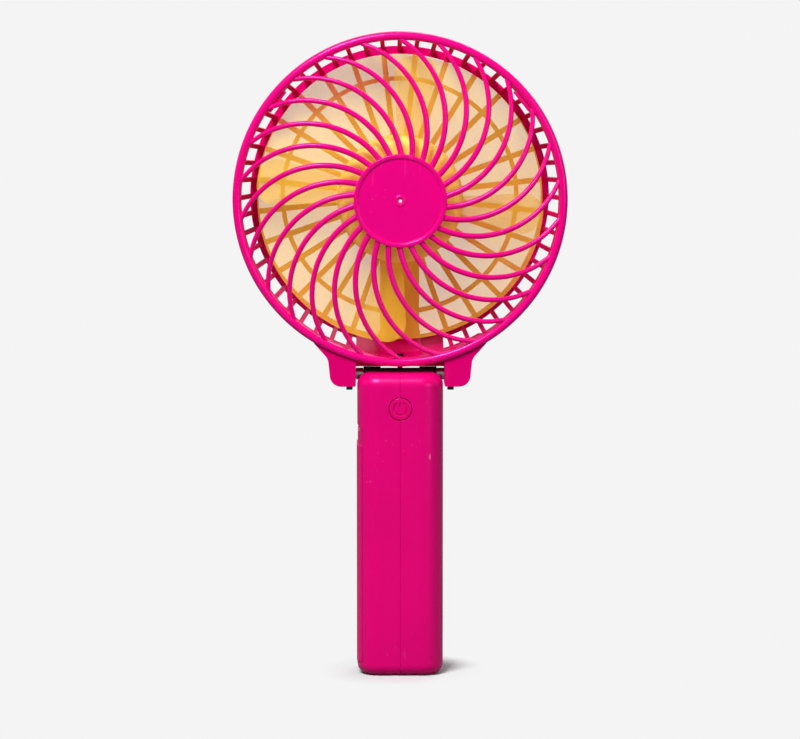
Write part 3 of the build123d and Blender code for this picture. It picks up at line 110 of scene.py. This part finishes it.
def new_finish(name):
    """An empty finish: the material, its shader, and the place on the piece."""
    material = bpy.data.materials.new(name)
    material.use_nodes = True
    tree = material.node_tree
    shader = tree.nodes["Principled BSDF"]
    place = Wire(tree, tree.nodes.new("ShaderNodeTexCoord").outputs["Object"])
    return material, shader, place


def feed(shader, **wires):
    """Links wires to the shader's sockets, named with _ for a space."""
    for name, wire in wires.items():
        wire.tree.links.new(wire.socket, shader.inputs[name.replace("_", " ")])


sweep_finish, sweep_shader, sweep_place = new_finish("sweep")
sweep_shader.inputs["Roughness"].default_value = SWEEP_ROUGHNESS
sweep_shader.inputs["Specular IOR Level"].default_value = 0.0
even_grey = sweep_place.node("Emission", {}, {"Color": BACKDROP_GREY})
far_share = sweep_place.distance_from((0, 0, 0)).between(SHADOW_NEAR, SHADOW_FAR)
camera_share = sweep_place.node("LightPath", {}, {})
feed(sweep_shader, Base_Color=camera_share.mix(SWEEP_BOUNCE, SWEEP_WHITE))
sweep_mix = sweep_place.node("MixShader", {}, {0: far_share * camera_share, 2: even_grey})
sweep_place.tree.links.new(sweep_shader.outputs[0], sweep_mix.socket.node.inputs[1])
sweep_output = sweep_place.tree.nodes["Material Output"]
sweep_place.tree.links.new(sweep_mix.socket, sweep_output.inputs["Surface"])

bpy.ops.object.select_all(action="DESELECT")
bpy.ops.mesh.primitive_plane_add(size=SWEEP_SIZE)
sweep = bpy.context.object
sweep.name = "sweep"
sweep.data.materials.append(sweep_finish)

# ---------------------------------------------------------------- camera and studio light
# A long lens from a little above the guard, square to the fan's front. A large
# lamp high on the left, weaker ones on the right and behind, in a dim white room.
CAMERA_PLACE = Vector((-0.010, -1.200, 0.225))
CAMERA_AIM = Vector((0.0, 0.0, 0.0975))
LENS_PER_SENSOR_WIDTH = 4.706
CLIP_START = 0.01
HEAD_CENTRE = Vector((0.0, 0.0, 0.1523))
ROOM_LIGHT = 0.12
ROOM_IN_GLOSS = 0.3


def aimed(name, data, place, aim):
    """Puts a camera or a lamp at a place and turns it to what it is aimed at."""
    thing = bpy.data.objects.new(name, data)
    bpy.context.scene.collection.objects.link(thing)
    thing.location = place
    thing.rotation_euler = (aim - Vector(place)).to_track_quat("-Z", "Y").to_euler()
    return thing


lens = bpy.data.cameras.new("camera")
lens.sensor_fit = "HORIZONTAL"
lens.lens = lens.sensor_width * LENS_PER_SENSOR_WIDTH
lens.clip_start = CLIP_START
bpy.context.scene.camera = aimed("camera", lens, CAMERA_PLACE, CAMERA_AIM)

for name, place, size, power in (
    ("key_lamp", (-0.36, -0.74, 1.15), 0.50, 22.0),
    ("fill_lamp", (0.90, -1.1, 0.35), 0.6, 3.0),
    ("back_lamp", (0.35, 1.00, 0.80), 0.7, 5.0),
):
    lamp = bpy.data.lights.new(name, "AREA")
    lamp.shape = "SQUARE"
    lamp.size = size
    lamp.energy = power
    aimed(name, lamp, place, HEAD_CENTRE)

room = bpy.data.worlds.new("room")
bpy.context.scene.world = room
room.use_nodes = True
room_back = room.node_tree.nodes["Background"]
room_back.inputs["Color"].default_value = BACKDROP_GREY
room_place = Wire(room.node_tree, room_back.outputs[0])
seen = room_place.node("LightPath", {}, {})
seen_glossy = Wire(room.node_tree, seen.socket.node.outputs["Is Glossy Ray"])
seen_through = Wire(room.node_tree, seen.socket.node.outputs["Is Transmission Ray"])
seen_straight = seen.maths("MAXIMUM", seen, seen_through)
seen_at_all = seen.maths("MAXIMUM", seen_straight, seen_glossy * ROOM_IN_GLOSS)
room_strength = seen_at_all * (1 - ROOM_LIGHT) + ROOM_LIGHT
room.node_tree.links.new(room_strength.socket, room_back.inputs["Strength"])

# ---------------------------------------------------------------- front guard
# The front guard, moulded in one piece of bright pink plastic: a ring with a
# rounded front, a hub disc with a raised rim, and 26 round ribs that curve
# from the hub to the ring over a low dome. Two snap hooks hold it on.
# Painted light: the same pink plastic as the handle, painted lighter on the front guard because the
# head stands nearer the lamp.
GUARD_PINK_LIT = (0.93, 0.0, 0.24)
FLOW_SHADE = 0.93
PINK_WORN = (1.0, 0.16, 0.48, 1.0)
PINK_GLOSS = (1.0, 0.15, 0.52, 1.0)
FLOW_SCALE = 40.0
GRAIN_SCALE = 2200.0
PATCH_SCALE = 30.0
SPECK_SCALE = 900.0
SCRATCH_STRETCH = (1100.0, 1100.0, 70.0)
FINE_WEAR = 0.18
WORN_ROUGHNESS = 0.4
FLOW_ROUGHNESS = 0.08
GRAIN_BUMP = 0.10
GRAIN_HEIGHT = 0.0001
SCRATCH_PLACE = (0.0094, -0.0125, 0.0708)
SCRATCH_SHAPE = (1.0, 0.1, 0.3)
SCRATCH_CORE = 0.0001
SCRATCH_EDGE = 0.0004
# Painted highlight: a near-white dot at the centre of the hub, in the base colour.
GLINT_WHITE = (0.98, 0.78, 0.88, 1.0)
GLINT_PLACE = (0.0, -0.0128, 0.1523)
GLINT_RADIUS = 0.0006
GLINT_EDGE = 0.0002
HEAD_HEIGHT = 0.1523
RING_RADIUS = 0.0532
RING_WIDTH = 0.0027
RING_FRONT = -0.00765
RING_BACK = -0.001
RING_ROUNDING = 0.47 * RING_WIDTH
HUB_RADIUS = 0.0148
HUB_FRONT = -0.0130
HUB_THICKNESS = 0.0024
HUB_RIM = 0.0013
HUB_RECESS = 0.00045
HUB_ROUNDING = 0.00035
RIM_SLOPE = 0.00025
GATE_RING_RADIUS = 0.0019
GATE_RING_SLOPE = 0.0003
GATE_RING_HEIGHT = 0.00018
GATE_RING_WIDTH = 0.0005
GATE_PIT_SLOPE = 0.00025
GATE_PIT_DEPTH = 0.0004
RING_SIDES = 256
HUB_SIDES = 160
DOME_RISE = 0.0064
DOME_POWER = 3.1
RIB_COUNT = 26
RIB_TURN = 6.5
RIB_ARC_CENTRE = (0.00931, 0.02845)
RIB_ARC_RADIUS = 0.02913
RIB_ARC_START = -80.0
RIB_ARC_END = 11.0
RIB_HALF = 0.00098
RIB_TAPER = 0.76
RIB_POINTS = 9
HOOK_ANGLES = (38.5, 141.5)
HOOK_INSET = 0.0006
HOOK_MIDDLE = -0.00145
HOOK_SIZE = (0.0013, 0.0097, 0.008)
HOOK_EDGE = 0.0003
SMOOTH_ANGLE = math.radians(28)
TOUCH = 1e-5


def pink_plastic(name, pink, roughness, edge, gloss):
    """Smooth dyed plastic: faint flow marks, fine scratches, edges rubbed round,
    a painted highlight as a near-white dot at the hub's centre, and one scratch
    on the front of the handle."""
    material, shader, place = new_finish(name)
    flow = place.noise(FLOW_SCALE, 2.0)
    grain = place.noise(GRAIN_SCALE, 2.0)
    stretched = place.node("Mapping", {}, {"Vector": place, "Scale": SCRATCH_STRETCH})
    patches = place.noise(PATCH_SCALE, 1.0)
    scratches = stretched.noise(1.0, 1.0).between(0.68, 0.75) * patches.between(0.55, 0.68)
    specks = place.noise(SPECK_SCALE, 1.0).between(0.72, 0.77) * patches.between(0.45, 0.6)
    drawn_out = place.node("Mapping", {}, {"Vector": place, "Scale": SCRATCH_SHAPE})
    middle = tuple(part * share for part, share in zip(SCRATCH_PLACE, SCRATCH_SHAPE))
    scratch = 1 - drawn_out.distance_from(middle).between(SCRATCH_CORE, SCRATCH_EDGE)
    wear = (scratches + specks) * FINE_WEAR + scratch
    pink_deep = tuple(FLOW_SHADE * part for part in pink)
    shade = flow.between(0.3, 0.7).mix((*pink, 1.0), (*pink_deep, 1.0))
    soft_edge = place.node("Bevel", {"samples": 4}, {"Radius": edge})
    bump_inputs = {
        "Strength": GRAIN_BUMP,
        "Distance": GRAIN_HEIGHT,
        "Height": grain - wear,
        "Normal": soft_edge,
    }
    # painted highlight: near-white dot at the hub's centre
    painted_glint = 1 - place.distance_from(GLINT_PLACE).between(GLINT_RADIUS, GLINT_RADIUS + GLINT_EDGE)
    feed(
        shader,
        Base_Color=painted_glint.mix(wear.mix(shade, PINK_WORN), GLINT_WHITE),
        Roughness=flow * FLOW_ROUGHNESS + wear * WORN_ROUGHNESS + roughness,
        Normal=place.node("Bump", {}, bump_inputs),
    )
    shader.inputs["Specular IOR Level"].default_value = gloss
    shader.inputs["Specular Tint"].default_value = PINK_GLOSS
    return material


def dome_depth(radius):
    """Depth of the ribs' front at a distance from the head's axis."""
    share = max(radius - HUB_RADIUS, 0.0) / (RING_RADIUS - HUB_RADIUS)
    return HUB_FRONT + HUB_RECESS + DOME_RISE * share ** DOME_POWER


def start_piece():
    """Clears the selection, so that what is added next is edited alone."""
    bpy.ops.object.select_all(action="DESELECT")


def pick_faces(mesh, wanted):
    """Selects, in edit mode, the faces whose centre and normal are wanted."""
    bpy.ops.mesh.select_mode(type="FACE")
    bpy.ops.mesh.select_all(action="DESELECT")
    bpy.ops.object.mode_set(mode="OBJECT")
    for face in mesh.polygons:
        face.select = wanted(face.center, face.normal)
    bpy.ops.object.mode_set(mode="EDIT")


def pick_edges(mesh, wanted):
    """Selects, in edit mode, the edges with both ends wanted."""
    bpy.ops.mesh.select_mode(type="EDGE")
    bpy.ops.mesh.select_all(action="DESELECT")
    bpy.ops.object.mode_set(mode="OBJECT")
    for edge in mesh.edges:
        first, second = (mesh.vertices[i].co for i in edge.vertices)
        edge.select = wanted(first, second)
    bpy.ops.object.mode_set(mode="EDIT")


def open_tube(radius, front, back, width, sides):
    """Ring about the head's axis with a wall inwards, its place in its mesh."""
    start_piece()
    bpy.ops.mesh.primitive_cylinder_add(
        vertices=sides,
        radius=radius,
        depth=back - front,
        end_fill_type="NOTHING",
        location=(0, (front + back) / 2, HEAD_HEIGHT),
        rotation=(math.pi / 2, 0, 0),
    )
    bpy.ops.object.transform_apply(location=True, rotation=True, scale=True)
    tube = bpy.context.object
    wall = tube.modifiers.new("wall", "SOLIDIFY")
    wall.thickness = width
    wall.offset = -1
    wall.use_even_offset = True
    bpy.ops.object.modifier_apply(modifier="wall")
    return tube


def round_front(tube, front, offset, segments):
    """Rounds the edges of a piece that lie at its front."""
    def at_front_rim(first, second):
        same_radius = abs((first - HEAD_CENTRE).length - (second - HEAD_CENTRE).length) < TOUCH
        return abs(first.y - front) < TOUCH and abs(second.y - front) < TOUCH and same_radius

    bpy.ops.object.mode_set(mode="EDIT")
    pick_edges(tube.data, at_front_rim)
    bpy.ops.mesh.bevel(offset=offset, segments=segments, profile=0.5, affect="EDGES")
    bpy.ops.object.mode_set(mode="OBJECT")


def join_pieces(name, pieces):
    """Joins pieces into one, smooth except at its real edges."""
    start_piece()
    for piece in pieces:
        piece.select_set(True)
    bpy.context.view_layer.objects.active = pieces[0]
    bpy.ops.object.join()
    joined = bpy.context.object
    joined.name = name
    joined.data.name = name
    bpy.ops.object.shade_smooth_by_angle(angle=SMOOTH_ANGLE)
    return joined


def turned_copies(piece, count):
    """Copies a piece round the head's axis, in its own mesh."""
    start_piece()
    piece.select_set(True)
    bpy.context.view_layer.objects.active = piece
    bpy.ops.object.mode_set(mode="EDIT")
    bpy.ops.mesh.select_all(action="SELECT")
    for _ in range(count - 1):
        bpy.ops.mesh.duplicate()
        bpy.ops.transform.rotate(
            value=2 * math.pi / count,
            orient_axis="Y",
            orient_type="GLOBAL",
            center_override=HEAD_CENTRE,
        )
    bpy.ops.object.mode_set(mode="OBJECT")


# painted light: the front guard's pink is a lighter copy of the handle's
guard_pink = pink_plastic("guard_pink", GUARD_PINK_LIT, roughness=0.16, edge=0.0002, gloss=0.95)

ring = open_tube(RING_RADIUS, RING_FRONT, RING_BACK, RING_WIDTH, RING_SIDES)
round_front(ring, RING_FRONT, RING_ROUNDING, 6)

start_piece()
bpy.ops.mesh.primitive_cylinder_add(
    vertices=HUB_SIDES,
    radius=HUB_RADIUS,
    depth=HUB_THICKNESS,
    location=(0, HUB_FRONT + HUB_THICKNESS / 2, HEAD_HEIGHT),
    rotation=(math.pi / 2, 0, 0),
)
bpy.ops.object.transform_apply(location=True, rotation=True, scale=True)
hub = bpy.context.object
bpy.ops.object.mode_set(mode="EDIT")
pick_faces(hub.data, lambda centre, normal: normal.y < -0.9)
bpy.ops.mesh.inset(thickness=HUB_RIM)
bpy.ops.mesh.inset(thickness=RIM_SLOPE)
bpy.ops.transform.translate(value=(0, HUB_RECESS, 0))
bpy.ops.mesh.inset(thickness=HUB_RADIUS - HUB_RIM - RIM_SLOPE - GATE_RING_RADIUS)
bpy.ops.mesh.inset(thickness=GATE_RING_SLOPE)
bpy.ops.transform.translate(value=(0, -GATE_RING_HEIGHT, 0))
bpy.ops.mesh.inset(thickness=GATE_RING_WIDTH)
bpy.ops.mesh.inset(thickness=GATE_PIT_SLOPE)
bpy.ops.transform.translate(value=(0, GATE_PIT_DEPTH, 0))
bpy.ops.object.mode_set(mode="OBJECT")
round_front(hub, HUB_FRONT, HUB_ROUNDING, 3)

start_piece()
bpy.ops.curve.primitive_bezier_curve_add()
bpy.ops.object.mode_set(mode="EDIT")
bpy.ops.curve.select_all(action="SELECT")
bpy.ops.curve.subdivide(number_cuts=RIB_POINTS - 2)
bpy.ops.object.mode_set(mode="OBJECT")
rib = bpy.context.object
for step, point in enumerate(rib.data.splines[0].bezier_points):
    share = step / (RIB_POINTS - 1)
    angle = math.radians(RIB_ARC_START + (RIB_ARC_END - RIB_ARC_START) * share)
    across = RIB_ARC_CENTRE[0] + RIB_ARC_RADIUS * math.cos(angle)
    up = RIB_ARC_CENTRE[1] + RIB_ARC_RADIUS * math.sin(angle)
    turn = math.radians(RIB_TURN)
    x = across * math.cos(turn) - up * math.sin(turn)
    z = across * math.sin(turn) + up * math.cos(turn)
    half = RIB_HALF * (1 + (RIB_TAPER - 1) * share)
    point.co = (x, dome_depth(math.hypot(x, z)) + half, z + HEAD_HEIGHT)
    point.handle_left_type = "AUTO"
    point.handle_right_type = "AUTO"
    point.radius = half / RIB_HALF
rib.data.bevel_depth = RIB_HALF
rib.data.bevel_resolution = 5
rib.data.resolution_u = 6
rib.data.use_fill_caps = True
bpy.ops.object.convert(target="MESH")
rib = bpy.context.object
turned_copies(rib, RIB_COUNT)

hooks = []
for angle in HOOK_ANGLES:
    turn = math.radians(angle)
    reach = RING_RADIUS - RING_WIDTH - HOOK_INSET
    start_piece()
    bpy.ops.mesh.primitive_cube_add(
        size=1,
        location=(reach * math.cos(turn), HOOK_MIDDLE, HEAD_HEIGHT + reach * math.sin(turn)),
        rotation=(0, -turn, 0),
        scale=HOOK_SIZE,
    )
    bpy.ops.object.transform_apply(location=True, rotation=True, scale=True)
    bpy.ops.object.mode_set(mode="EDIT")
    bpy.ops.mesh.bevel(offset=HOOK_EDGE, segments=2, affect="EDGES")
    bpy.ops.object.mode_set(mode="OBJECT")
    hooks.append(bpy.context.object)

front_guard = join_pieces("front_guard_moulding", [ring, hub, rib, *hooks])
front_guard.data.materials.clear()
front_guard.data.materials.append(guard_pink)
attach(front_guard, "head")
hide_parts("front_guard")


# ---------------------------------------------------------------- rear guard, cover and hinge caps
# The bowl behind the wheel, with the ears of the hinge, and the flat cover over
# its motor, in the same plastic as the front but duller, its pink painted darker
# as shade. The caps close the ears over the ends of the hinge pins.
# Painted shade: the same pink plastic, painted darker so the bowl behind the ring looks shaded.
REAR_PINK_SHADED = (0.76, 0.0, 0.165)


def dress(material, *names):
    """A CAD piece keeps its shape and takes a finish."""
    for name in names:
        slots = nodes[name].data.materials
        slots.clear()
        slots.append(material)


# painted shade: darker copy of the pink on the rear pieces
shaded_rear_pink = pink_plastic("shaded_rear_pink", REAR_PINK_SHADED, roughness=0.50, edge=0.0002, gloss=0.12)
dress(shaded_rear_pink, "rear_guard", "motor_cover", "hinge_caps")

# ---------------------------------------------------------------- fan wheel
# One thin moulding in translucent amber: what lies behind the blades shows
# through them, and the yellow deepens where two blades overlap. The cap over
# the motor is thicker and lets little through. A faint amber glow is painted light.
AMBER = (1.0, 0.72, 0.08, 1.0)
AMBER_DEEP = (1.0, 0.68, 0.05, 1.0)
CAP_AMBER = (1.0, 0.74, 0.16, 1.0)
BLADE_COVER = 0.36
RIDGE_COVER = 0.43
EDGE_COVER = 0.25
# Painted light: strength of a faint amber glow over the whole wheel, standing in for light passing
# through it.
PAINTED_AMBER_GLOW = 0.09
BLADE_FRONT = -0.0046
BLADE_BACK = 0.0126
BLADE_FEATHER = 0.0030
BLADE_FADE = 0.0070
CAP_COVER = 0.93
CAP_RADIUS = 0.0201
CAP_EDGE = 0.0002
WHEEL_FLOW_SCALE = 35.0
WHEEL_DUST_SCALE = 1500.0
WHEEL_ROUGHNESS = 0.28
DUST_ROUGHNESS = 0.15
WHEEL_GLOSS = 0.15

wheel_yellow, wheel_shader, wheel_place = new_finish("wheel_yellow")
wheel_flow = wheel_place.noise(WHEEL_FLOW_SCALE, 2.0)
wheel_dust = wheel_place.noise(WHEEL_DUST_SCALE, 2.0)
flattened = {"Vector": wheel_place, "Location": (0, 0, -HEAD_HEIGHT), "Scale": (1, 0, 1)}
from_axis = wheel_place.node("Mapping", {}, flattened)
depth = wheel_place.node("SeparateXYZ", {}, {"Vector": wheel_place}, 1)
to_edge = depth.maths("MINIMUM", depth - BLADE_FRONT, BLADE_BACK - depth)
cover = (
    to_edge.between(0.0, BLADE_FEATHER) * (RIDGE_COVER - EDGE_COVER)
    - to_edge.between(BLADE_FEATHER, BLADE_FADE) * (RIDGE_COVER - BLADE_COVER)
    + EDGE_COVER
)
on_blade = from_axis.distance_from((0, 0, 0)).between(CAP_RADIUS, CAP_RADIUS + CAP_EDGE)
feed(
    wheel_shader,
    Base_Color=on_blade.mix(CAP_AMBER, wheel_flow.between(0.3, 0.7).mix(AMBER, AMBER_DEEP)),
    Roughness=wheel_dust * DUST_ROUGHNESS + WHEEL_ROUGHNESS,
    Alpha=on_blade * (cover - CAP_COVER) + CAP_COVER,
)
wheel_shader.inputs["Specular IOR Level"].default_value = WHEEL_GLOSS
# painted light: the wheel glows faintly in amber
wheel_shader.inputs["Emission Color"].default_value = AMBER
wheel_shader.inputs["Emission Strength"].default_value = PAINTED_AMBER_GLOW
dress(wheel_yellow, "fan_rotor")

# ---------------------------------------------------------------- handle case, cover and button
# Two halves of a box-shaped case, moulded in glossy pink plastic, meet on the
# middle line. The cover over the battery sits in the left side, and the round
# button in the front.
HANDLE_PINK = (0.85, 0.0, 0.19)

handle_pink = pink_plastic("handle_pink", HANDLE_PINK, roughness=0.22, edge=0.0003, gloss=0.80)
dress(handle_pink, "handle_left_shell", "handle_right_shell", "battery_door", "power_button")


# ---------------------------------------------------------------- hinge, motor, board and battery
# Black friction discs and hinge block, bright metal sleeves and pins, and the
# inner parts that show only when the case is open.
SMALL_GRAIN_SCALE = 1500.0
SMALL_GRAIN_SHADE = 0.75
SMALL_GRAIN_BUMP = 0.08
SMALL_GRAIN_ROUGHNESS = 0.15


def plain_finish(name, colour, roughness, metallic, *names):
    """Finish of small parts, with a fine grain in its colour and gloss."""
    material, shader, place = new_finish(name)
    grain = place.noise(SMALL_GRAIN_SCALE, 3.0)
    dark = tuple(SMALL_GRAIN_SHADE * part for part in colour)
    bump_inputs = {"Strength": SMALL_GRAIN_BUMP, "Distance": GRAIN_HEIGHT, "Height": grain}
    feed(
        shader,
        Base_Color=grain.between(0.3, 0.7).mix((*colour, 1.0), (*dark, 1.0)),
        Roughness=grain * SMALL_GRAIN_ROUGHNESS + roughness,
        Normal=place.node("Bump", {}, bump_inputs),
    )
    shader.inputs["Metallic"].default_value = metallic
    dress(material, *names)


# name of the finish, its colour, roughness and metallic share, and what takes it
plain_finish(
    "black_plastic", (0.006, 0.006, 0.007), 0.50, 0.0,
    "friction_discs", "hinge_block", "motor_end_cap", "board_chips", "switch_body",
    "switch_plunger",
)
plain_finish(
    "bright_steel", (0.62, 0.62, 0.63), 0.15, 1.0,
    "hinge_spacers", "hinge_pins", "motor_can", "motor_shaft", "usb_socket", "battery_contact",
    "battery_spring",
)
plain_finish("screw_steel", (0.45, 0.45, 0.46), 0.25, 1.0, "shell_screws", "cover_screws")
plain_finish("magnet_grey", (0.09, 0.09, 0.10), 0.60, 0.0, "motor_magnets")
plain_finish("iron_core", (0.30, 0.30, 0.30), 0.40, 1.0, "motor_armature")
plain_finish("brass_parts", (0.75, 0.53, 0.22), 0.25, 1.0, "motor_bushes", "motor_terminals")
plain_finish(
    "lead_black", (0.02, 0.02, 0.02), 0.50, 0.0,
    "motor_lead", "handle_lead", "battery_wires",
)
plain_finish("board_green", (0.01, 0.13, 0.05), 0.40, 0.0, "circuit_board")
plain_finish("cell_wrap", (0.03, 0.14, 0.42), 0.30, 0.0, "battery_cell")
